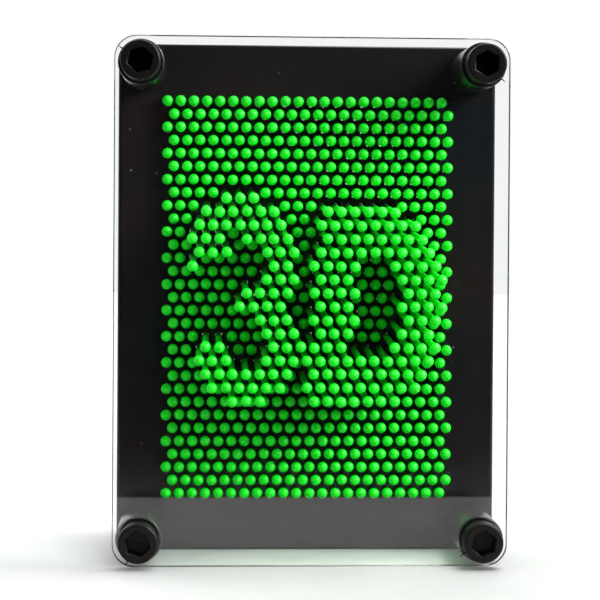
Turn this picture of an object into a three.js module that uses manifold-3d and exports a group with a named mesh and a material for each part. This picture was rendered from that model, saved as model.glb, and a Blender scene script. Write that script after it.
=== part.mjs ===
// Pin art impression toy: a clear cover and two drilled plates stacked on four screws, with 682 loose
// pins that slide through both plates and hold the shape of whatever is pressed into them.
// Millimetres, +Z up, cover towards -Y, standing on the bottom edges of the plates.
import * as THREE from 'three';
import { mergeVertices } from 'three/addons/utils/BufferGeometryUtils.js';
import Module from 'manifold-3d';

const wasm = await Module();
wasm.setup();

// ---- Driving dimensions ----
// Pins
const pinPitch = 3.27; // along a row and from row to row; odd rows are shifted by half of it
const pinDiameter = 1.6;
const ballDiameter = 2.74; // round head of a pin
const pinHole = 2.4; // the pins are loose in their holes
const slideGap = 0.1; // what is left between a sagging pin and the edge of its hole
const pinTravel = 16;
const halfTravel = 8; // the one pin that stands half way
const shoulderGap = 0.3; // between a resting ball and the plate
const tailMargin = 2; // what still sticks out of the rear plate when a pin is pushed forward
// Plates
const coverThickness = 2;
const plateThickness = 2;
const sideMargin = 12.3225; // outermost pin to the side edge
const cornerRadius = 5.3;
const viewGap = 20; // clear cover to front pin plate
const guideGap = 6; // front pin plate to rear pin plate
// Corner stacks
const spacerDiameter = 11.1;
const spacerEdgeGap = 0.75; // between a spacer and the edges of the plates
const cornerPinGap = 1.23; // between a spacer and the nearest ball, measured along Z
const guideSpacerDiameter = 9;
const shankDiameter = 4;
const boreClearance = 0.4; // on the diameter, wherever the shank passes through
const screwHeadDiameter = 9.5;
const screwHeadHeight = 4.5;
const screwHeadChamfer = 0.6;
const hexAcrossCorners = 6;
const hexDepth = 3;
const capThickness = 3;
const capThread = 2; // how far the screw reaches into its cap nut
const capFloorGap = 0.3; // between the end of the screw and the floor of the cap nut
const tableGap = 2; // between the tails and a table that the toy lies on

// ---- The pins, one letter each, top row first ----
// A capital letter is a group at rest against the front plate, a small one is a group pushed forward.
const pinMap = [
  'AAAAAAAAAAABBBBBBBBBBB',
  'AAAAAAAAAAABBBBBBBBBBB',
  'AAAAAAAAAAABBBBBBBBBBB',
  'AAAAAAAAAAABBBBBBBBBBB',
  'AAAAAAAAAAABBBBBBBBBBB',
  'AAAAAAAAAAABBBBBBBBBBB',
  'AAAAAAAAAAABBBBBBBBBBB',
  'CCCCbbbGGGGBBBBBBBBBBB',
  'CCCbbbbbbGGGhhhhhhSSSS',
  'CCbbbbbbbGGhhhhhhhhSSS',
  'CCaaamccccGGhhhhhhhhSS',
  'CCaaaEEcccGiiiijjjjjSS',
  'CCaEEEEEccGiiiiHHjjjjR',
  'EEEEEEEcccGiiiHHHjjjjR',
  'EEEEEEddddGiiiiHHHjjjR',
  'EEEEEddddGGiiiHHHkkkkR',
  'FFFFFFFdddGiiiiHHHkkkR',
  'FFFFFFFeeeGiiiHHHkkkRR',
  'FFFggFFFeeeiiiHHHkkkkR',
  'LLgggFFeeeelllllllllTT',
  'LLLfffffffPlllllllllTT',
  'LLLffffffPlllllllllTTT',
  'LLLLLfffPPPlllllllTTTT',
  'PPPPPPPPPPPQQQQQQQQQQQ',
  'PPPPPPPPPPPQQQQQQQQQQQ',
  'PPPPPPPPPPPQQQQQQQQQQQ',
  'PPPPPPPPPPPQQQQQQQQQQQ',
  'PPPPPPPPPPPQQQQQQQQQQQ',
  'PPPPPPPPPPPQQQQQQQQQQQ',
  'PPPPPPPPPPPQQQQQQQQQQQ',
  'PPPPPPPPPPPQQQQQQQQQQQ',
];
const groupNames = {
  A: 'pins_field_top_left',
  B: 'pins_field_top_right',
  C: 'pins_field_left_upper',
  E: 'pins_field_left_middle',
  F: 'pins_field_left_lower',
  L: 'pins_field_left_bottom',
  G: 'pins_field_between',
  H: 'pins_field_counter',
  S: 'pins_field_right_upper',
  R: 'pins_field_right_edge',
  T: 'pins_field_right_lower',
  P: 'pins_field_bottom_left',
  Q: 'pins_field_bottom_right',
  a: 'pins_three_upper_hook',
  b: 'pins_three_top',
  c: 'pins_three_shoulder',
  d: 'pins_three_waist',
  e: 'pins_three_hip',
  f: 'pins_three_bottom',
  g: 'pins_three_lower_hook',
  h: 'pins_dee_top',
  i: 'pins_dee_stem',
  j: 'pins_dee_upper_bowl',
  k: 'pins_dee_lower_bowl',
  l: 'pins_dee_bottom',
  m: 'pin_half_raised',
};

// ---- Sizes that follow ----
const rowCount = pinMap.length;
const columnCount = pinMap[0].length;
const fieldWidth = (columnCount - 0.5) * pinPitch;
const fieldHeight = (rowCount - 1) * pinPitch;
const screwInset = spacerEdgeGap + spacerDiameter / 2;
const endMargin = screwInset + spacerDiameter / 2 + cornerPinGap + ballDiameter / 2;
const plateWidth = fieldWidth + 2 * sideMargin;
const plateHeight = fieldHeight + 2 * endMargin;
const screwBore = shankDiameter + boreClearance;
const tailReach = pinTravel + tailMargin; // tails behind the rear plate, pins at rest
const legLength = tailReach + tableGap - capThickness;

// The stack along Y, from the screw heads to the caps that the toy lies on
const depth = screwHeadHeight + coverThickness + viewGap + 2 * plateThickness + guideGap
  + legLength + capThickness;
const coverFront = -depth / 2 + screwHeadHeight;
const coverBack = coverFront + coverThickness;
const frontPlate = coverBack + viewGap;
const guideFront = frontPlate + plateThickness;
const rearPlate = guideFront + guideGap;
const legFront = rearPlate + plateThickness;
const legBack = legFront + legLength;
const tailEnd = legFront + tailReach;
const ballCentre = frontPlate - shoulderGap - ballDiameter / 2;

// A pin pushed forward tips in its two holes until it touches the lower edge in front and the upper
// edge behind, so it leans forward by this slope about the middle of the guide.
const sagSlope = (pinHole - pinDiameter - 2 * slideGap) / (guideGap + 2 * plateThickness);
const guideMiddle = (frontPlate + legFront) / 2;

const rowHeight = row => endMargin + (rowCount - 1 - row) * pinPitch;
const pinX = (row, column) => (column + (row % 2) / 2) * pinPitch - fieldWidth / 2;

// ---- Materials ----
const clearAcrylic = { color: '#eef4f2', roughness: 0.05, metalness: 0, transparent: true, opacity: 0.2 };
const blackPlate = { color: '#1b1a1c', roughness: 0.3, metalness: 0 };
const blackScrew = { color: '#101012', roughness: 0.25, metalness: 0 };
const neonGreen = { color: '#02dc1c', roughness: 0.3, metalness: 0 };

// ---- Helpers ----
const toy = new THREE.Group();
const roundingSteps = 1e4; // per millimetre
const roundSides = 12;

function addNode(name, geometry, finish, position = [0, 0, 0]) {
  const mesh = new THREE.Mesh(geometry, new THREE.MeshStandardMaterial(finish));
  mesh.name = name;
  mesh.position.set(...position);
  toy.add(mesh);
}

// A closed geometry as a solid: positions only, rounded so that flush faces meet exactly, shared
// corners merged, collapsed triangles dropped.
function solidOf(geometry) {
  geometry.deleteAttribute('normal');
  geometry.deleteAttribute('uv');
  const positions = geometry.attributes.position.array;
  positions.forEach((value, i) => { positions[i] = Math.round(value * roundingSteps) / roundingSteps; });
  const merged = mergeVertices(geometry, 1e-4);
  const corners = merged.index.array;
  const triangles = [];
  for (let i = 0; i < corners.length; i += 3) {
    const [a, b, c] = corners.slice(i, i + 3);
    if (a !== b && b !== c && c !== a) triangles.push(a, b, c);
  }
  return new wasm.Manifold(new wasm.Mesh({
    numProp: 3,
    vertProperties: new Float32Array(merged.attributes.position.array),
    triVerts: new Uint32Array(triangles),
  }));
}

function geometryOf(solid) {
  const { vertProperties, triVerts } = solid.getMesh();
  const geometry = new THREE.BufferGeometry();
  geometry.setAttribute('position', new THREE.BufferAttribute(vertProperties, 3));
  geometry.setIndex(new THREE.BufferAttribute(triVerts, 1));
  geometry.computeVertexNormals();
  return geometry;
}

// A turned shape about the Y axis; the profile holds [radius, y] pairs.
function turned(profile, sides, startAngle = 0) {
  const points = profile.map(([radius, y]) => new THREE.Vector2(radius, y));
  return new THREE.LatheGeometry(points, sides, startAngle);
}

function sleeve(diameter, bore, length) {
  const outer = diameter / 2;
  const inner = bore / 2;
  return turned([[inner, 0], [outer, 0], [outer, length], [inner, length], [inner, 0]], roundSides);
}

const corners = [-1, 1].flatMap(side => [0, 1].map(top => ({
  name: `${top ? 'top' : 'bottom'}_${side < 0 ? 'left' : 'right'}`,
  x: side * (plateWidth / 2 - screwInset),
  z: top ? plateHeight - screwInset : screwInset,
})));

// ---- Plates ----
// A rounded sheet that stands on Z = 0, with the four screw bores and any further holes.
function sheet(thickness, holes) {
  const outline = new THREE.Shape();
  const right = plateWidth / 2 - cornerRadius;
  const top = plateHeight - cornerRadius;
  outline.absarc(right, cornerRadius, cornerRadius, -Math.PI / 2, 0);
  outline.absarc(right, top, cornerRadius, 0, Math.PI / 2);
  outline.absarc(-right, top, cornerRadius, Math.PI / 2, Math.PI);
  outline.absarc(-right, cornerRadius, cornerRadius, Math.PI, Math.PI * 1.5);
  for (const { x, z } of corners) {
    outline.holes.push(new THREE.Path().absarc(x, z, screwBore / 2, 0, Math.PI * 2));
  }
  outline.holes.push(...holes);
  const blank = new THREE.ExtrudeGeometry(outline, {
    depth: thickness,
    bevelEnabled: false,
    curveSegments: 5,
  });
  return blank.rotateX(Math.PI / 2).translate(0, thickness, 0);
}

// The holes of one row of pins run together into a slot, as high as a hole and as long as the row.
function rowSlot(row) {
  const left = pinX(row, 0) - pinHole / 2;
  const right = pinX(row, columnCount - 1) + pinHole / 2;
  const low = rowHeight(row) - pinHole / 2;
  const high = rowHeight(row) + pinHole / 2;
  const slot = new THREE.Path();
  slot.moveTo(left, low).lineTo(right, low).lineTo(right, high).lineTo(left, high).closePath();
  return slot;
}

const rowSlots = () => pinMap.map((letters, row) => rowSlot(row));
addNode('front_cover', sheet(coverThickness, []), clearAcrylic, [0, coverFront, 0]);
addNode('front_pin_plate', sheet(plateThickness, rowSlots()), blackPlate, [0, frontPlate, 0]);
addNode('rear_pin_plate', sheet(plateThickness, rowSlots()), blackPlate, [0, rearPlate, 0]);

// ---- Corner stacks ----
// Socket head screw, its head's front face at Y = 0.
function cornerScrew() {
  const shankEnd = screwHeadHeight + legBack - coverFront + capThread;
  const head = screwHeadDiameter / 2;
  const shank = shankDiameter / 2;
  const body = solidOf(turned([
    [0, 0],
    [head - screwHeadChamfer, 0],
    [head, screwHeadChamfer],
    [head, screwHeadHeight],
    [shank, screwHeadHeight],
    [shank, shankEnd],
    [0, shankEnd],
  ], roundSides));
  const socket = solidOf(turned([
    [0, -1],
    [hexAcrossCorners / 2, -1],
    [hexAcrossCorners / 2, hexDepth],
    [0, hexDepth],
  ], 6));
  return geometryOf(body.subtract(socket));
}

// Cap nut: closed behind, with a blind bore for the end of the screw.
function capNut() {
  const outer = spacerDiameter / 2;
  const bore = screwBore / 2;
  const floor = capThread + capFloorGap;
  const blindBore = [[0, floor], [bore, floor], [bore, 0]];
  return turned([...blindBore, [outer, 0], [outer, capThickness], [0, capThickness]], roundSides);
}

for (const { name, x, z } of corners) {
  const at = y => [x, y, z];
  addNode(`screw_${name}`, cornerScrew(), blackScrew, at(coverFront - screwHeadHeight));
  addNode(`front_spacer_${name}`, sleeve(spacerDiameter, screwBore, viewGap), blackScrew, at(coverBack));
  const guideSpacer = sleeve(guideSpacerDiameter, screwBore, guideGap);
  addNode(`guide_spacer_${name}`, guideSpacer, blackScrew, at(guideFront));
  addNode(`rear_leg_${name}`, sleeve(spacerDiameter, screwBore, legLength), blackScrew, at(legFront));
  addNode(`cap_nut_${name}`, capNut(), blackScrew, at(legBack));
}

// ---- Pins ----
const barThickness = 1.2; // the bars that tie the tails of one group together
const tieInset = 0.3; // keeps a tie between two rows inside the pair of pins that it joins
const tieReach = 0.3; // how far a tie runs past the middles of its two rows

// A pin along Y with a square shaft and a four-sided ball, its axis through the origin.
function pin() {
  const shaft = pinDiameter / Math.SQRT2;
  const ball = ballDiameter / 2;
  const neck = ballCentre + Math.sqrt(ball ** 2 - shaft ** 2);
  return solidOf(turned([
    [0, ballCentre - ball],
    [ball, ballCentre],
    [shaft, neck],
    [shaft, tailEnd],
    [0, tailEnd],
  ], 4, Math.PI / 4));
}

// A box at the tails, flush with their ends, from X = 0 and Z = low.
function tailBox(length, low, high) {
  const box = new THREE.BoxGeometry(length, barThickness, high - low);
  return solidOf(box.translate(length / 2, tailEnd - barThickness / 2, (low + high) / 2));
}

// Unbroken runs of one group's pins in a row, as [first column, last column].
function runsOf(letter, row) {
  const runs = [];
  [...pinMap[row]].forEach((other, column) => {
    if (other !== letter) return;
    const last = runs.at(-1);
    if (last && last[1] === column - 1) last[1] = column;
    else runs.push([column, column]);
  });
  return runs;
}

// The first pin of a run in the upper row that has a neighbour in a run of the row below: their Xs.
function neighbours(upper, row, lower) {
  for (let column = upper[0]; column <= upper[1]; column++) {
    for (const below of row % 2 ? [column, column + 1] : [column - 1, column]) {
      if (below >= lower[0] && below <= lower[1]) return [pinX(row, column), pinX(row + 1, below)];
    }
  }
  return null;
}

// The pins of a group, each run with a bar along its tails and each pair of touching runs with a tie.
function pinGroup(letter) {
  const solids = [];
  const onePin = pin();
  const tie = tailBox(pinPitch / 2 - 2 * tieInset, -pinPitch - tieReach, tieReach);
  pinMap.forEach((letters, row) => {
    const z = rowHeight(row);
    for (const run of runsOf(letter, row)) {
      const start = pinX(row, run[0]);
      const length = pinX(row, run[1]) - start;
      for (let column = run[0]; column <= run[1]; column++) {
        solids.push(onePin.translate([pinX(row, column), 0, z]));
      }
      if (length > 0) {
        const bar = tailBox(length, -pinDiameter / 2, pinDiameter / 2);
        solids.push(bar.translate([start, 0, z]));
      }
      for (const lower of row + 1 < rowCount ? runsOf(letter, row + 1) : []) {
        const pair = neighbours(run, row, lower);
        if (pair) solids.push(tie.translate([Math.min(...pair) + tieInset, 0, z]));
      }
    }
  });
  // one original without seams, so that its flush faces become single faces
  return geometryOf(wasm.Manifold.union(solids).asOriginal().simplify());
}

for (const [letter, name] of Object.entries(groupNames)) {
  const geometry = pinGroup(letter);
  const atRest = letter === letter.toUpperCase();
  const forward = letter === 'm' ? halfTravel : pinTravel;
  if (!atRest) geometry.translate(0, -forward, 0);
  if (!atRest && letter !== 'm') {
    // z moves by sagSlope for each millimetre along y, about the middle of the guide
    geometry.applyMatrix4(new THREE.Matrix4().makeShear(0, 0, 0, sagSlope, 0, 0));
    geometry.translate(0, 0, -sagSlope * guideMiddle);
  }
  addNode(name, geometry, neonGreen);
}

export default toy;
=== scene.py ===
import math
import random

import bmesh
import bpy
from mathutils import Matrix, Vector


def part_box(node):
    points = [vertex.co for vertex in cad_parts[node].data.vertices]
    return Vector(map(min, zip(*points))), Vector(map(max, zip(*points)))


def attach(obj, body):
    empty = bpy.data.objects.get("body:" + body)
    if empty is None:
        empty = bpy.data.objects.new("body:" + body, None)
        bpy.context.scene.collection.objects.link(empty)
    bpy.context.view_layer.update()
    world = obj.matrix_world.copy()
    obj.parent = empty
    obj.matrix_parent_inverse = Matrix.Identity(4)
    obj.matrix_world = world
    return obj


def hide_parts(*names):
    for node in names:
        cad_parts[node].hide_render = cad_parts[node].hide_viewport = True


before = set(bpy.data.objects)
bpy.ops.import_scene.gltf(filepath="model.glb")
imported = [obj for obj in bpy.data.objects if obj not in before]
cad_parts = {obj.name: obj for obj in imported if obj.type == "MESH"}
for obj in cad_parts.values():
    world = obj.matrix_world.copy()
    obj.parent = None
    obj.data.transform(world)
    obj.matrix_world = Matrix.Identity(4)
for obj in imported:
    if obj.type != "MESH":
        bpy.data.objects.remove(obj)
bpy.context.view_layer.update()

mm = 0.001
cornerAngle = 1.2  # radians; an edge sharper than this is a corner to round
random.seed(31)
print("frame loaded:", len(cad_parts), "nodes")


# Small helpers.

def linearColour(hexColour):
    # sRGB hex to the linear values that Blender works in
    parts = [int(hexColour[i:i + 2], 16) / 255 for i in (1, 3, 5)]
    return (*(p / 12.92 if p <= 0.04045 else ((p + 0.055) / 1.055) ** 2.4 for p in parts), 1.0)


def addNode(tree, kind, inputs=None, **settings):
    # settings are the node's own properties; an input is a value, or a socket to link
    made = tree.nodes.new(kind)
    for name, value in settings.items():
        setattr(made, name, value)
    for name, value in (inputs or {}).items():
        if isinstance(value, bpy.types.NodeSocket):
            tree.links.new(value, made.inputs[name])
        else:
            made.inputs[name].default_value = value
    return made


def newMaterial(name):
    material = bpy.data.materials.new(name)
    material.use_nodes = True
    tree = material.node_tree
    place = addNode(tree, "ShaderNodeTexCoord").outputs["Object"]
    return material, tree, tree.nodes["Principled BSDF"], place


def finishPiece(name, bm, material, body, nodes, sharpAngle=40, flats=True):
    # normals out, smooth with sharp creases, then onto its CAD body; faces across Y stay truly flat
    bmesh.ops.recalc_face_normals(bm, faces=bm.faces[:])
    for face in bm.faces:
        face.smooth = True
    for edge in bm.edges:
        level = [abs(face.normal.y) > 0.9999 for face in edge.link_faces]
        leavesFlat = flats and any(level) and not all(level)
        edge.smooth = edge.calc_face_angle(0) < math.radians(sharpAngle) and not leavesFlat
    mesh = bpy.data.meshes.new(name)
    bm.to_mesh(mesh)
    bm.free()
    mesh.materials.append(material)
    piece = bpy.data.objects.new(name, mesh)
    bpy.context.collection.objects.link(piece)
    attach(piece, body)
    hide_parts(*nodes)
    return piece


def spinProfile(bm, points, sides):
    # turns an open or closed outline of (radius, along Y) round the Y axis
    verts = [bm.verts.new((r * mm, y * mm, 0)) for r, y in points]
    edges = [bm.edges.new(pair) for pair in zip(verts, verts[1:])]
    if points[0][0] and points[-1][0]:
        edges.append(bm.edges.new((verts[-1], verts[0])))
    bmesh.ops.spin(bm, geom=verts + edges, cent=(0, 0, 0), axis=(0, 1, 0), dvec=(0, 0, 0),
                   angle=math.tau, steps=sides, use_merge=True, use_duplicate=False)
    bmesh.ops.remove_doubles(bm, verts=bm.verts[:], dist=0.002 * mm)


def roundEdges(bm, edges, width, segments):
    bmesh.ops.bevel(bm, geom=edges, offset=width * mm, offset_type="OFFSET", segments=segments,
                    profile=0.5, affect="EDGES", material=-1)


def ringEdges(bm, radius, y, sides, turn=0, centre=(0, 0)):
    # an open circle that faces along Y
    place = (Matrix.Translation((centre[0] * mm, y * mm, centre[1] * mm)) @ Matrix.Rotation(turn, 4, "Y")
             @ Matrix.Rotation(math.pi / 2, 4, "X"))
    made = bmesh.ops.create_circle(bm, cap_ends=False, segments=sides, radius=radius * mm, matrix=place)
    return list({edge for vert in made["verts"] for edge in vert.link_edges})


def pullEdges(bm, edges, along=0.0, factor=1.0):
    # extrudes a loop along Y, or in and out about the Y axis, and gives the new loop
    grown = bmesh.ops.extrude_edge_only(bm, edges=edges)["geom"]
    verts = [part for part in grown if isinstance(part, bmesh.types.BMVert)]
    bmesh.ops.scale(bm, vec=(factor, 1, factor), verts=verts)
    bmesh.ops.translate(bm, vec=(0, along * mm, 0), verts=verts)
    return [part for part in grown if isinstance(part, bmesh.types.BMEdge)]


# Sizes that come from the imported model.

corners = ("top_left", "top_right", "bottom_left", "bottom_right")


def boxOf(node):
    low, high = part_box(node)
    return Vector(low) / mm, Vector(high) / mm


def centreOf(node):
    low, high = boxOf(node)
    return (low.x + high.x) / 2, (low.z + high.z) / 2


screwCentres = [centreOf("front_spacer_" + corner) for corner in corners]


# The camera looks at the front, a little from the left and from above the middle.
cameraLook = {
    "place": (-25.9, -437.9, 83.5),  # mm
    "turnRight": 2.599, "tiltUp": -0.605, "roll": 0.366,  # degrees
    "lens": 104.05, "shiftX": 0.0287, "shiftY": -0.1056,
}
cameraData = bpy.data.cameras.new("camera")
camera = bpy.data.objects.new("camera", cameraData)
bpy.context.collection.objects.link(camera)
camera.matrix_world = (
    Matrix.Translation(Vector(cameraLook["place"]) * mm)
    @ Matrix.Rotation(-math.radians(cameraLook["turnRight"]), 4, "Z")
    @ Matrix.Rotation(math.radians(90 + cameraLook["tiltUp"]), 4, "X")
    @ Matrix.Rotation(math.radians(cameraLook["roll"]), 4, "Z")
)
cameraData.lens = cameraLook["lens"]
cameraData.shift_x, cameraData.shift_y = cameraLook["shiftX"], cameraLook["shiftY"]
cameraData.clip_start = 0.01
bpy.context.scene.camera = camera


# Materials: three patterns that they share, and what feeds the shader.
def noise(tree, place, size, detail, **more):
    # clouds of about this many mm
    inputs = {"Vector": place, "Scale": 1 / (size * mm), "Detail": detail, **more}
    return addNode(tree, "ShaderNodeTexNoise", inputs)


def spread(tree, pattern, limits=(0.0, 1.0), start=0.0, end=1.0):
    # the pattern's values from start to end, laid out between the limits
    return addNode(tree, "ShaderNodeMapRange", {0: pattern.outputs[0], 1: start, 2: end,
                                                3: limits[0], 4: limits[1]})


def blend(tree, factor, first, second):
    # from the first colour to the second; each is a hex colour or a socket
    first, second = (linearColour(c) if isinstance(c, str) else c for c in (first, second))
    made = addNode(tree, "ShaderNodeMix", {0: factor.outputs[0], 6: first, 7: second}, data_type="RGBA")
    return made.outputs[2]


def feed(tree, shader, colour, gloss=None, bump=None):
    tree.links.new(colour, shader.inputs["Base Color"])
    if gloss:
        tree.links.new(gloss.outputs[0], shader.inputs["Roughness"])
    if bump:
        tree.links.new(bump.outputs[0], shader.inputs["Normal"])


# Pins: fluorescent green ABS, injection moulded. The eye gets a saturated green that a faint painted glow
# lifts in the shade, a soft pale highlight on every ball, and random darker and lighter patches of painted
# shade for how unevenly the light falls on the pins.
neonLook = {
    "colour": "#00dc1c", "shadedColour": "#00c414",
    "paintedShadeSize": 5.0,  # mm, about one and a half pins
    "roughness": (0.42, 0.48), "grainSize": 0.3, "grainBump": 0.004, "grainDepth": 0.02,
    "specular": 0.36, "paintedGlow": 0.012,
    "seeThrough": 0.55, "lightDepth": 1.6,  # light that enters one side of a pin leaves at the other
}
neonGreenAbs, tree, shader, place = newMaterial("neonGreenAbs")
# painted shade: random patches of a darker green stand in for pins that get less light
paintedShade = noise(tree, place, neonLook["paintedShadeSize"], 1.0)
grain = noise(tree, place, neonLook["grainSize"], 3.0)
bump = addNode(tree, "ShaderNodeBump", {"Height": grain.outputs[0], "Strength": neonLook["grainBump"],
                                        "Distance": neonLook["grainDepth"] * mm})
feed(tree, shader, blend(tree, paintedShade, neonLook["shadedColour"], neonLook["colour"]),
     spread(tree, grain, neonLook["roughness"]), bump)
shader.inputs["IOR"].default_value = 1.53
shader.inputs["Specular IOR Level"].default_value = neonLook["specular"]
shader.inputs["Subsurface Weight"].default_value = neonLook["seeThrough"]
shader.inputs["Subsurface Radius"].default_value = (0.25, 1.0, 0.3)  # green travels furthest
shader.inputs["Subsurface Scale"].default_value = neonLook["lightDepth"] * mm
# painted glow: a faint emission in the pins' own green lifts their shaded sides
shader.inputs["Emission Color"].default_value = linearColour(neonLook["colour"])
shader.inputs["Emission Strength"].default_value = neonLook["paintedGlow"]

# Pin plates: black ABS sheet with a polished moulded face. The eye gets near black with soft reflections,
# warm and cool patches of painted reflection in the black, finger smudges that change the gloss, grey dust
# specks and a few hair scratches.
plateLook = {
    "colour": "#1d1718", "coolReflectionColour": "#131518",
    "reflectionTintSize": 40.0, "reflectionTintEdge": (0.35, 0.65),  # mm, warm and cool patches of painted reflection in the black
    "dust": "#8a867f", "speckSpacing": 3.4, "speckRadius": 0.14,  # mm; real dust is finer than this
    "speckRarity": 3.0,  # a higher power leaves fewer large specks
    "smudgeSize": 24.0, "smudgeEdge": (0.35, 0.7), "roughness": (0.1, 0.24),
    "scratchWidth": 0.3, "scratchLength": 9.0, "scratchSlant": 0.6,  # mm and radians; real ones are finer
    "scratchEdge": (0.74, 0.8), "scratchShade": 0.1, "markDullness": 0.5,
}
blackPlateAbs, tree, shader, place = newMaterial("blackPlateAbs")
cells = addNode(tree, "ShaderNodeTexVoronoi",
                {"Vector": place, "Scale": 1 / (plateLook["speckSpacing"] * mm)})
pick = addNode(tree, "ShaderNodeSeparateColor", {0: cells.outputs["Color"]})
reach = addNode(tree, "ShaderNodeMath", {0: pick.outputs[0], 1: plateLook["speckRarity"]}, operation="POWER")
largest = 2 * plateLook["speckRadius"] / plateLook["speckSpacing"]
reach = addNode(tree, "ShaderNodeMath", {0: reach.outputs[0], 1: largest}, operation="MULTIPLY")
specks = addNode(tree, "ShaderNodeMath", {0: cells.outputs["Distance"], 1: reach.outputs[0]},
                 operation="LESS_THAN")
slant = addNode(tree, "ShaderNodeMapping", {"Vector": place, "Rotation": (0, plateLook["scratchSlant"], 0)})
narrow = plateLook["scratchWidth"] / plateLook["scratchLength"]
turned = addNode(tree, "ShaderNodeMapping", {"Vector": slant.outputs[0], "Scale": (1, 1, narrow)})
hair = noise(tree, turned.outputs[0], plateLook["scratchWidth"], 1.0)
hair = spread(tree, hair, (0.0, 1.0), *plateLook["scratchEdge"])
marks = addNode(tree, "ShaderNodeMath",
                {0: hair.outputs[0], 1: plateLook["scratchShade"], 2: specks.outputs[0]},
                operation="MULTIPLY_ADD", use_clamp=True)
# painted reflection: warm and cool patches laid into the black colour
tint = spread(tree, noise(tree, place, plateLook["reflectionTintSize"], 1.0), (0.0, 1.0), *plateLook["reflectionTintEdge"])
smudge = noise(tree, place, plateLook["smudgeSize"], 5.0, Roughness=0.6)
gloss = spread(tree, smudge, plateLook["roughness"], *plateLook["smudgeEdge"])
gloss = addNode(tree, "ShaderNodeMath",
                {0: marks.outputs[0], 1: plateLook["markDullness"], 2: gloss.outputs[0]},
                operation="MULTIPLY_ADD")
sheet = blend(tree, tint, plateLook["colour"], plateLook["coolReflectionColour"])
feed(tree, shader, blend(tree, marks, sheet, plateLook["dust"]), gloss)
shader.inputs["IOR"].default_value = 1.5
shader.inputs["Specular IOR Level"].default_value = 0.3

# Pin holes: the same sheet as drilled. The eye gets dull walls with fine turning marks, painted darker than
# the face as shade in the bores.
holeLook = {"colour": "#08080a", "markColour": "#0f0f11", "markSize": 0.12, "roughness": (0.75, 0.95)}
drilledAbs, tree, shader, place = newMaterial("drilledAbs")
marks = noise(tree, place, holeLook["markSize"], 2.0)
feed(tree, shader, blend(tree, marks, holeLook["colour"], holeLook["markColour"]),
     spread(tree, marks, holeLook["roughness"]))
shader.inputs["Specular IOR Level"].default_value = 0.1

# Screws and cap nuts: black nylon, moulded and dull on the flats. The eye gets almost no reflection,
# only a thin pale line where an edge turns.
screwLook = {"colour": "#131110", "paleColour": "#191615", "grainSize": 0.5, "roughness": (0.3, 0.42),
             "grainBump": 0.06, "grainDepth": 0.03}
blackNylon, tree, shader, place = newMaterial("blackNylon")
grain = noise(tree, place, screwLook["grainSize"], 4.0)
bump = addNode(tree, "ShaderNodeBump", {"Height": grain.outputs[0], "Strength": screwLook["grainBump"],
                                        "Distance": screwLook["grainDepth"] * mm})
feed(tree, shader, blend(tree, grain, screwLook["colour"], screwLook["paleColour"]),
     spread(tree, grain, screwLook["roughness"]), bump)
shader.inputs["Specular IOR Level"].default_value = 0.14

# Spacers and legs: black styrene tube, drawn and glossy. The eye gets long bright streaks along the
# tube and the green of the pins in it, broken by faint draw lines.
tubeLook = {"colour": "#0b0b0c", "lineColour": "#141416", "lineSize": 0.8, "lineStretch": 0.04,
            "roughness": (0.2, 0.3)}
blackTubeStyrene, tree, shader, place = newMaterial("blackTubeStyrene")
stretched = addNode(tree, "ShaderNodeMapping",
                    {"Vector": place, "Scale": (1.0, tubeLook["lineStretch"], 1.0)})
lines = noise(tree, stretched.outputs[0], tubeLook["lineSize"], 1.0)
feed(tree, shader, blend(tree, lines, tubeLook["colour"], tubeLook["lineColour"]),
     spread(tree, lines, tubeLook["roughness"]))
shader.inputs["IOR"].default_value = 1.59

# Front cover: clear acrylic sheet, cast and flame polished at the edge. The eye sees straight through
# it, with bright and dark lines in the edge and very faint wipe marks.
acrylicLook = {"tint": "#fbfdfb", "roughness": (0.0, 0.02), "wipeSize": 9.0, "wipeSlant": 0.4,
               "wipeStretch": 0.15, "wipeEdge": (0.45, 0.8)}
clearAcrylic, tree, shader, place = newMaterial("clearAcrylic")
wiped = addNode(tree, "ShaderNodeMapping", {"Vector": place, "Rotation": (0, acrylicLook["wipeSlant"], 0),
                                            "Scale": (1.0, 1.0, acrylicLook["wipeStretch"])})
wipe = noise(tree, wiped.outputs[0], acrylicLook["wipeSize"], 4.0)
gloss = spread(tree, wipe, acrylicLook["roughness"], *acrylicLook["wipeEdge"])
tree.links.new(gloss.outputs[0], shader.inputs["Roughness"])
shader.inputs["Base Color"].default_value = linearColour(acrylicLook["tint"])
shader.inputs["IOR"].default_value = 1.49
shader.inputs["Specular IOR Level"].default_value = 0.16
shader.inputs["Transmission Weight"].default_value = 1.0

# Floor: white paper sheet. The eye gets a pale, slightly uneven ground with no gloss.
paperLook = {"colour": "#f4f4f2", "shadow": "#eceeee", "cloudSize": 60.0}
whitePaper, tree, shader, place = newMaterial("whitePaper")
cloud = noise(tree, place, paperLook["cloudSize"], 6.0)
feed(tree, shader, blend(tree, cloud, paperLook["shadow"], paperLook["colour"]))
shader.inputs["Roughness"].default_value = 0.85
print("materials made")


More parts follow.
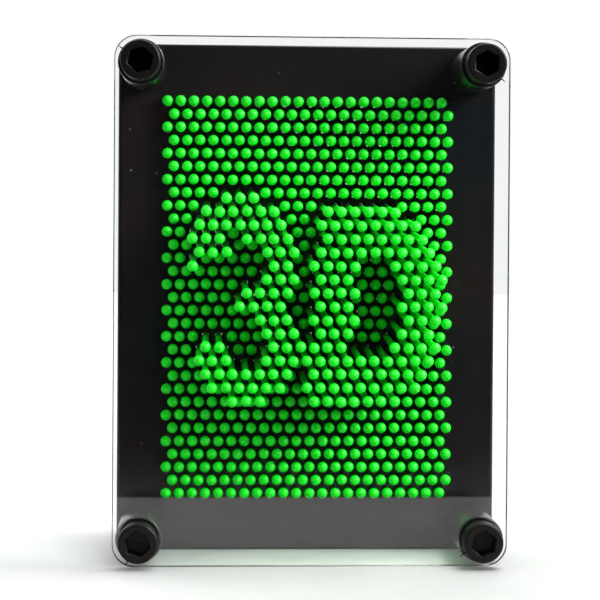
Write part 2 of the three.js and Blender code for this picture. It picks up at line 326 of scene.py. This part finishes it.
# Pin field: one letter for each pin, top row first. Capital letters rest on the plate, and small ones
# are pushed forward.
pinMap = """
AAAAAAAAAAABBBBBBBBBBB AAAAAAAAAAABBBBBBBBBBB AAAAAAAAAAABBBBBBBBBBB AAAAAAAAAAABBBBBBBBBBB
AAAAAAAAAAABBBBBBBBBBB AAAAAAAAAAABBBBBBBBBBB AAAAAAAAAAABBBBBBBBBBB
CCCCbbbGGGGBBBBBBBBBBB CCCbbbbbbGGGhhhhhhSSSS CCbbbbbbbGGhhhhhhhhSSS CCaaamccccGGhhhhhhhhSS
CCaaaEEcccGiiiijjjjjSS CCaEEEEEccGiiiiHHjjjjR EEEEEEEcccGiiiHHHjjjjR EEEEEEddddGiiiiHHHjjjR
EEEEEddddGGiiiHHHkkkkR FFFFFFFdddGiiiiHHHkkkR FFFFFFFeeeGiiiHHHkkkRR FFFggFFFeeeiiiHHHkkkkR
LLgggFFeeeelllllllllTT LLLfffffffPlllllllllTT LLLffffffPlllllllllTTT LLLLLfffPPPlllllllTTTT
PPPPPPPPPPPQQQQQQQQQQQ PPPPPPPPPPPQQQQQQQQQQQ PPPPPPPPPPPQQQQQQQQQQQ PPPPPPPPPPPQQQQQQQQQQQ
PPPPPPPPPPPQQQQQQQQQQQ PPPPPPPPPPPQQQQQQQQQQQ PPPPPPPPPPPQQQQQQQQQQQ PPPPPPPPPPPQQQQQQQQQQQ
""".split()
groupNames = {
    "A": "pins_field_top_left", "B": "pins_field_top_right", "C": "pins_field_left_upper",
    "E": "pins_field_left_middle", "F": "pins_field_left_lower", "L": "pins_field_left_bottom",
    "G": "pins_field_between", "H": "pins_field_counter", "S": "pins_field_right_upper",
    "R": "pins_field_right_edge", "T": "pins_field_right_lower", "P": "pins_field_bottom_left",
    "Q": "pins_field_bottom_right", "a": "pins_three_upper_hook", "b": "pins_three_top",
    "c": "pins_three_shoulder", "d": "pins_three_waist", "e": "pins_three_hip", "f": "pins_three_bottom",
    "g": "pins_three_lower_hook", "h": "pins_dee_top", "i": "pins_dee_stem", "j": "pins_dee_upper_bowl",
    "k": "pins_dee_lower_bowl", "l": "pins_dee_bottom", "m": "pin_half_raised",
}
plateFront = boxOf("front_pin_plate")[0].y
rearBack = boxOf("rear_pin_plate")[1].y
guideMiddle = (plateFront + rearBack) / 2
ballRadius = 1.37
singlePin = boxOf("pin_half_raised")
headHalf = (singlePin[1].x - singlePin[0].x) / 2  # less than the radius, because a CAD head is four-sided
rowTop = max(boxOf(node)[1].z for node in groupNames.values()) - headHalf
rowLast = min(boxOf(node)[0].z for node in groupNames.values()) + headHalf
pitch = (rowTop - rowLast) / (len(pinMap) - 1)
fieldHalf = (len(pinMap[0]) - 0.5) / 2 * pitch


def pinPlace(row, column):
    return -fieldHalf + (column + (row % 2) / 2) * pitch, rowTop - row * pitch


pinLook = {
    "shaftRadius": 0.8, "length": 29.67,  # ball centre to tail end
    "ringAngles": (26, 52, 78, 108, 145),  # degrees from the front of the ball, where its rings lie
    "restBall": boxOf("pins_field_top_left")[0].y + ballRadius, "travel": 16.0, "halfTravel": 8.0,
    "restLift": 0.3, "restSag": 0.02,  # a resting pin stands high in its holes and tips by this per mm
    "sag": 0.06, "sagSpread": 0.004,  # drop per mm of a pin that is pushed forward
    "lean": 0.003,  # and how far its head leans to the left, per mm
    "bendSpread": 0.1, "sideSpread": 0.06, "liftSpread": 0.05,  # mm, from pin to pin
    "sides": 12,
    "knobRadius": 0.98, "knobLength": 1.2, "knobTaper": 0.25, "tailPoint": 0.3,  # the tail ends thicker
    "shadowOffset": 0.3,  # no blotches where the light grazes a head
}
template = bmesh.new()
ball = [(math.sin(math.radians(a)) * ballRadius, -math.cos(math.radians(a)) * ballRadius)
        for a in pinLook["ringAngles"]]
knob, tail = pinLook["knobRadius"], pinLook["length"]
knobStart = tail - pinLook["knobLength"]
spinProfile(template, [(0, -ballRadius), *ball, (pinLook["shaftRadius"], knobStart),
                       (knob, knobStart + pinLook["knobTaper"]), (knob, tail - pinLook["tailPoint"]),
                       (0, tail)],
            pinLook["sides"])
bmesh.ops.recalc_face_normals(template, faces=template.faces[:])
pinMesh = bpy.data.meshes.new("pinTemplate")
template.to_mesh(pinMesh)
template.free()
print("one pin:", len(pinMesh.polygons), "faces")

for letter, node in groupNames.items():
    forward = {"m": pinLook["halfTravel"]}.get(letter, pinLook["travel"] if letter.islower() else 0.0)
    bm = bmesh.new()
    for row, letters in enumerate(pinMap):
        for column, here in enumerate(letters):
            if here != letter:
                continue
            x, z = pinPlace(row, column)
            first = len(bm.verts)
            bm.from_mesh(pinMesh)
            bm.verts.ensure_lookup_table()
            turn = random.uniform(0, math.tau / pinLook["sides"])
            luck = [random.uniform(-1, 1) for _ in range(4)]
            sideways = luck[0] * pinLook["sideSpread"]
            leaning = luck[1] * pinLook["sagSpread"]
            bend = luck[2] * pinLook["bendSpread"] * forward / pinLook["travel"]
            if forward == pinLook["travel"]:
                leaning += pinLook["lean"]
                slope, lift = pinLook["sag"], 0.0
            else:
                slope, lift = pinLook["restSag"], pinLook["restLift"] + luck[3] * pinLook["liftSpread"]
            bmesh.ops.rotate(bm, verts=bm.verts[first:], cent=(0, 0, 0),
                             matrix=Matrix.Rotation(turn, 3, "Y"))
            for vert in bm.verts[first:]:
                y = vert.co.y / mm + pinLook["restBall"] - forward
                ahead = max(0.0, (plateFront - y) / pinLook["travel"])
                vert.co = Vector((
                    vert.co.x / mm + x + sideways * 0.5 + leaning * (y - guideMiddle),
                    y,
                    vert.co.z / mm + z + lift + slope * (y - guideMiddle) + bend * ahead * ahead,
                )) * mm
    name = node.replace("pins_", "greenPins_").replace("pin_", "greenPin_")
    pins = finishPiece(name, bm, neonGreenAbs, node, [node], sharpAngle=60, flats=False)
    pins.cycles.shadow_terminator_offset = pinLook["shadowOffset"]
    pins.cycles.shadow_terminator_geometry_offset = pinLook["shadowOffset"]
bpy.data.meshes.remove(pinMesh)
print("pins made:", sum(map(len, pinMap)))


# Plates.
def roundedOutline(bm, width, height, radius, segments):
    # the outline's edges, lying in XZ at y = 0 and standing on z = 0
    made = bmesh.ops.create_grid(bm, x_segments=1, y_segments=1, size=0.5)["verts"]
    bmesh.ops.scale(bm, vec=(width * mm, height * mm, 1), verts=made)
    bmesh.ops.translate(bm, vec=(0, height / 2 * mm, 0), verts=made)
    bmesh.ops.bevel(bm, geom=made, offset=radius * mm, offset_type="OFFSET", segments=segments,
                    profile=0.5, affect="VERTICES", material=-1)
    bmesh.ops.delete(bm, geom=bm.faces[:], context="FACES_ONLY")
    bmesh.ops.rotate(bm, verts=bm.verts[:], cent=(0, 0, 0), matrix=Matrix.Rotation(math.pi / 2, 3, "X"))
    return bm.edges[:]


def pinHoleField(bm, look):
    # a tile with a countersunk round hole, laid down once for each pin; neighbours share their corners
    holeRadius, lip = look["holeRadius"], look["lip"]
    sides, centre = look["holeSides"], (0, look["holeRise"])
    tile = bmesh.new()
    square = ringEdges(tile, pitch / 2, 0, 8)
    for vert in {v for e in square for v in e.verts}:
        vert.co *= pitch / 2 * mm / max(abs(vert.co.x), abs(vert.co.z))
    rim = ringEdges(tile, holeRadius + lip, 0, sides, centre=centre)
    bmesh.ops.bridge_loops(tile, edges=square + rim)
    throat = ringEdges(tile, holeRadius, lip, sides, centre=centre)
    bmesh.ops.bridge_loops(tile, edges=rim + throat)
    tileMesh = bpy.data.meshes.new("tile")
    tile.to_mesh(tileMesh)
    tile.free()
    start = len(bm.verts)
    for row, letters in enumerate(pinMap):
        for column in range(len(letters)):
            first = len(bm.verts)
            bm.from_mesh(tileMesh)
            bm.verts.ensure_lookup_table()
            x, z = pinPlace(row, column)
            bmesh.ops.translate(bm, vec=(x * mm, 0, z * mm), verts=bm.verts[first:])
    bpy.data.meshes.remove(tileMesh)
    bm.verts.ensure_lookup_table()
    bmesh.ops.remove_doubles(bm, verts=bm.verts[start:], dist=0.01 * mm)


def outerRims(bm, high, depth, look):
    # the sharp edges round the outside of both faces, and none of those round the bores
    found = []
    for edge in bm.edges:
        if len(edge.link_faces) != 2 or edge.calc_face_angle() <= cornerAngle:
            continue
        ends = [vert.co for vert in edge.verts]
        onFaces = all(min(abs(end.y), abs(end.y - depth)) < 0.001 * mm for end in ends)
        sameFace = abs(ends[0].y - ends[1].y) < 0.001 * mm
        outside = all(abs(end.x) > (high.x * 0.99 - look["cornerRadius"]) * mm
                      or min(end.z, high.z * mm - end.z) < 0.01 * mm for end in ends)
        fromBore = min(math.hypot(end.x / mm - x, end.z / mm - z) for x, z in screwCentres for end in ends)
        if onFaces and sameFace and outside and fromBore > look["boreRadius"] + 0.5:
            found.append(edge)
    return found


def makePlate(name, node, material, look):
    low, high = boxOf(node)
    bm = bmesh.new()
    loops = roundedOutline(bm, high.x - low.x, high.z - low.z, look["cornerRadius"], look["cornerSegments"])
    for centre in screwCentres:
        loops += ringEdges(bm, look["boreRadius"], 0, look["boreSides"], centre=centre)
    if look.get("holeRadius"):
        pinHoleField(bm, look)
        loops += [e for e in bm.edges
                  if len(e.link_faces) == 1 and all(abs(v.co.y) < 0.01 * mm for v in e.verts)]
    bmesh.ops.triangle_fill(bm, use_beauty=True, edges=loops, normal=(0, 1, 0))
    depth = (high.y - low.y) * mm
    grown = bmesh.ops.extrude_face_region(bm, geom=bm.faces[:])["geom"]
    back = [part for part in grown if isinstance(part, bmesh.types.BMVert)]
    bmesh.ops.translate(bm, vec=(0, depth, 0), verts=back)
    for vert in back:
        vert.co.y = min(vert.co.y, 2 * depth - vert.co.y)  # the back countersinks go in too
    roundEdges(bm, outerRims(bm, high, depth, look), look["edgeRound"], 3)
    bmesh.ops.translate(bm, vec=(0, low.y * mm, low.z * mm), verts=bm.verts[:])
    bm.normal_update()
    reach = look.get("holeRadius", 0) + look.get("lip", 0)
    for face in bm.faces:
        middle = face.calc_center_median() / mm
        inField = abs(middle.x) < fieldHalf + reach and rowLast - reach < middle.z < rowTop + reach
        face.material_index = int(inField and abs(face.normal.y) < 0.9)
    piece = finishPiece(name, bm, material, "frame", [node], sharpAngle=31)
    if look.get("holeRadius"):
        piece.data.materials.append(drilledAbs)
    return piece


coverShape = {"cornerRadius": 5.3, "cornerSegments": 12, "boreRadius": 2.2, "boreSides": 32,
              "edgeRound": 0.18}
plateShape = {"cornerRadius": 5.3, "cornerSegments": 10, "boreRadius": 2.2, "boreSides": 32,
              "edgeRound": 0.9, "holeRadius": 1.2, "holeSides": 12, "lip": 0.1, "holeRise": 0.0}
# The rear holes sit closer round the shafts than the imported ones, so no daylight shows past the pins.
rearPlateShape = {**plateShape, "holeRadius": 0.98, "holeRise": 0.3}
clearCover = makePlate("clearCover", "front_cover", clearAcrylic, coverShape)
clearCover.visible_shadow = False  # lamps shine straight through it
makePlate("frontPinPlate", "front_pin_plate", blackPlateAbs, plateShape)
makePlate("rearPinPlate", "rear_pin_plate", blackPlateAbs, rearPlateShape)
print("plates made")


# Corner stacks: screw, three lengths of tube and a cap nut.
tubeShape = {"boreRadius": 2.2, "endRound": 0.3, "sides": 64}
screwShape = {
    "headRadius": 4.75, "headHeight": 4.5, "headRound": 0.5, "hexRadius": 3.25, "hexDepth": 3.0,
    "hexRound": 0.14, "sides": 64,
    "shankRadius": 2.0,
    "flashLength": 1.7, "flashWidth": 0.32, "flashTip": 0.06,  # a wisp of plastic left at the parting line
    "flashRoot": 0.3, "flashBack": 0.45,  # how deep it starts in the head, and how far from its back
}
hexTurns = {"top_left": 14, "top_right": 0, "bottom_left": 47, "bottom_right": 8}  # degrees
flashTurns = {"top_left": 214, "top_right": 40, "bottom_left": 118, "bottom_right": 143}  # clockwise from +X
capShape = {"rimRound": 0.9, "dishRadius": 3.4, "dishFloor": 0.8, "dishDepth": 0.45, "sides": 64}


def makeTube(name, node, material):
    low, high = boxOf(node)
    radius = (high.x - low.x) / 2
    bm = bmesh.new()
    spinProfile(bm, [(tubeShape["boreRadius"], low.y), (radius, low.y), (radius, high.y),
                     (tubeShape["boreRadius"], high.y)], tubeShape["sides"])
    rims = [e for e in bm.edges if e.calc_face_angle() > cornerAngle
            and all(math.hypot(v.co.x, v.co.z) > (radius - 0.2) * mm for v in e.verts)]
    roundEdges(bm, rims, tubeShape["endRound"], 3)
    x, z = centreOf(node)
    bmesh.ops.translate(bm, vec=(x * mm, 0, z * mm), verts=bm.verts[:])
    return finishPiece(name, bm, material, "frame", [node])


def makeScrew(corner):
    node = "screw_" + corner
    low, high = boxOf(node)
    look = screwShape
    headBack = low.y + look["headHeight"]
    bm = bmesh.new()
    rim = ringEdges(bm, look["headRadius"], low.y, look["sides"])
    socket = ringEdges(bm, look["hexRadius"], low.y, 6, turn=math.radians(hexTurns[corner]))
    bmesh.ops.bridge_loops(bm, edges=rim + socket)
    floor = pullEdges(bm, socket, along=look["hexDepth"])
    bmesh.ops.holes_fill(bm, edges=floor, sides=6)
    lower = pullEdges(bm, rim, along=look["headHeight"])
    neck = pullEdges(bm, lower, factor=look["shankRadius"] / look["headRadius"])
    end = pullEdges(bm, neck, along=high.y - headBack)
    bmesh.ops.holes_fill(bm, edges=end, sides=look["sides"])
    roundEdges(bm, rim, look["headRound"], 4)
    mouth = [e for e in bm.edges if e.calc_face_angle(0) > cornerAngle
             and all(abs(v.co.y - low.y * mm) < 0.001 * mm for v in e.verts)
             and all(math.hypot(v.co.x, v.co.z) < (look["hexRadius"] + 0.01) * mm for v in e.verts)]
    roundEdges(bm, mouth, look["hexRound"], 2)
    angle = math.radians(flashTurns[corner])
    reach = look["headRadius"] + look["flashLength"] / 2 - look["flashRoot"]
    lay = (Matrix.Rotation(angle, 4, "Y")
           @ Matrix.Translation((reach * mm, (headBack - look["flashBack"]) * mm, 0))
           @ Matrix.Rotation(math.pi / 2, 4, "Y"))
    bmesh.ops.create_cone(bm, cap_ends=True, segments=10, radius1=look["flashWidth"] * mm,
                          radius2=look["flashTip"] * mm,
                          depth=(look["flashLength"] + 2 * look["flashRoot"]) * mm, matrix=lay)
    x, z = centreOf("front_spacer_" + corner)
    bmesh.ops.translate(bm, vec=(x * mm, 0, z * mm), verts=bm.verts[:])
    return finishPiece("screw_" + corner + "_finished", bm, blackNylon, "frame", [node])


def makeCap(corner):
    node = "cap_nut_" + corner
    low, high = boxOf(node)
    radius = (high.x - low.x) / 2
    look = capShape
    bm = bmesh.new()
    spinProfile(bm, [(0, low.y), (radius, low.y), (radius, high.y), (look["dishRadius"], high.y),
                     (look["dishRadius"] * look["dishFloor"], high.y - look["dishDepth"]),
                     (0, high.y - look["dishDepth"])],
                look["sides"])
    rims = [e for e in bm.edges
            if all(v.co.y > (high.y - 0.01) * mm for v in e.verts)
            and all(math.hypot(v.co.x, v.co.z) > (radius - 0.1) * mm for v in e.verts)]
    roundEdges(bm, rims, look["rimRound"], 4)
    x, z = centreOf(node)
    bmesh.ops.translate(bm, vec=(x * mm, 0, z * mm), verts=bm.verts[:])
    return finishPiece("capNut_" + corner, bm, blackNylon, "frame", [node])


for corner in corners:
    makeScrew(corner)
    for piece, node in (("frontSpacer_", "front_spacer_"), ("guideSpacer_", "guide_spacer_"),
                        ("rearLeg_", "rear_leg_")):
        makeTube(piece + corner, node + corner, blackTubeStyrene)
    makeCap(corner)
print("corner stacks made")


# Floor, lamps and background.
stageLook = {
    "frontEdge": -126.0, "backEdge": 1500.0, "halfWidth": 1600.0,  # mm
    "keyPower": 9.6, "fillPower": 0.9, "topPower": 4.8, "backPower": 8.0,
    "skyBehind": 1.0, "skyAhead": 0.006, "skyBand": (-0.5, 0.3), "backdrop": 1.0,
}
bm = bmesh.new()
bmesh.ops.create_grid(bm, x_segments=1, y_segments=1, size=0.5)
floorDepth = stageLook["backEdge"] - stageLook["frontEdge"]
floorMiddle = (stageLook["backEdge"] + stageLook["frontEdge"]) / 2
bmesh.ops.scale(bm, vec=(2 * stageLook["halfWidth"] * mm, floorDepth * mm, 1), verts=bm.verts[:])
bmesh.ops.translate(bm, vec=(0, floorMiddle * mm, 0), verts=bm.verts[:])
floorMesh = bpy.data.meshes.new("floor")
bm.to_mesh(floorMesh)
bm.free()
floorMesh.materials.append(whitePaper)
floor = bpy.data.objects.new("floor", floorMesh)
bpy.context.collection.objects.link(floor)


def addLamp(name, place, aim, size, power):
    # a round lamp; place, aim and size in metres
    data = bpy.data.lights.new(name, "AREA")
    data.shape, data.size, data.energy = "DISK", size, power
    lamp = bpy.data.objects.new(name, data)
    bpy.context.collection.objects.link(lamp)
    lamp.location = place
    lamp.rotation_mode = "QUATERNION"
    lamp.rotation_quaternion = (Vector(aim) - Vector(place)).to_track_quat("-Z", "Y")
    return lamp


keyLamp = addLamp("keyLamp", (0.48, -0.2, 0.4), (0, 0, 0.06), 0.4, stageLook["keyPower"])
unlit = bpy.data.collections.new("unlitByKeyLamp")  # the key lamp is kept off the floor
keyLamp.light_linking.receiver_collection = unlit
unlit.objects.link(floor)
unlit.collection_objects[0].light_linking.link_state = "EXCLUDE"
addLamp("fillLamp", (-0.6, -0.26, 0.25), (0, 0, 0.06), 0.45, stageLook["fillPower"]).visible_glossy = False
addLamp("topLamp", (0.25, 0.1, 0.9), (0, -0.1, 0), 0.5, stageLook["topPower"])
addLamp("backLamp", (0, 1.1, 0.8), (0, 1.1, 0), 1.0, stageLook["backPower"])

world = bpy.data.worlds.new("studio")
bpy.context.scene.world = world
world.use_nodes = True
tree = world.node_tree
sky = tree.nodes["Background"]
skyPlace = addNode(tree, "ShaderNodeTexCoord").outputs["Generated"]
direction = addNode(tree, "ShaderNodeSeparateXYZ", {0: skyPlace})
towards = addNode(tree, "ShaderNodeMapRange",
                  {0: direction.outputs["Y"], 1: stageLook["skyBand"][0], 2: stageLook["skyBand"][1],
                   3: stageLook["skyAhead"], 4: stageLook["skyBehind"]}, interpolation_type="SMOOTHSTEP")
path = addNode(tree, "ShaderNodeLightPath")
bounced = addNode(tree, "ShaderNodeMath", {0: path.outputs["Glossy Depth"], 1: path.outputs["Diffuse Depth"]},
                  operation="ADD")
# The backdrop is what the camera sees straight, or through the clear sheet.
seen = addNode(tree, "ShaderNodeMath", {0: bounced.outputs[0], 1: 0.5}, operation="LESS_THAN")
strength = addNode(tree, "ShaderNodeMix", {0: seen.outputs[0], 2: towards.outputs[0],
                                           3: stageLook["backdrop"]})
tree.links.new(strength.outputs[0], sky.inputs["Strength"])
sky.inputs["Color"].default_value = (1, 1, 1, 1)
bpy.context.scene.view_settings.view_transform = "Standard"
print("stage made")
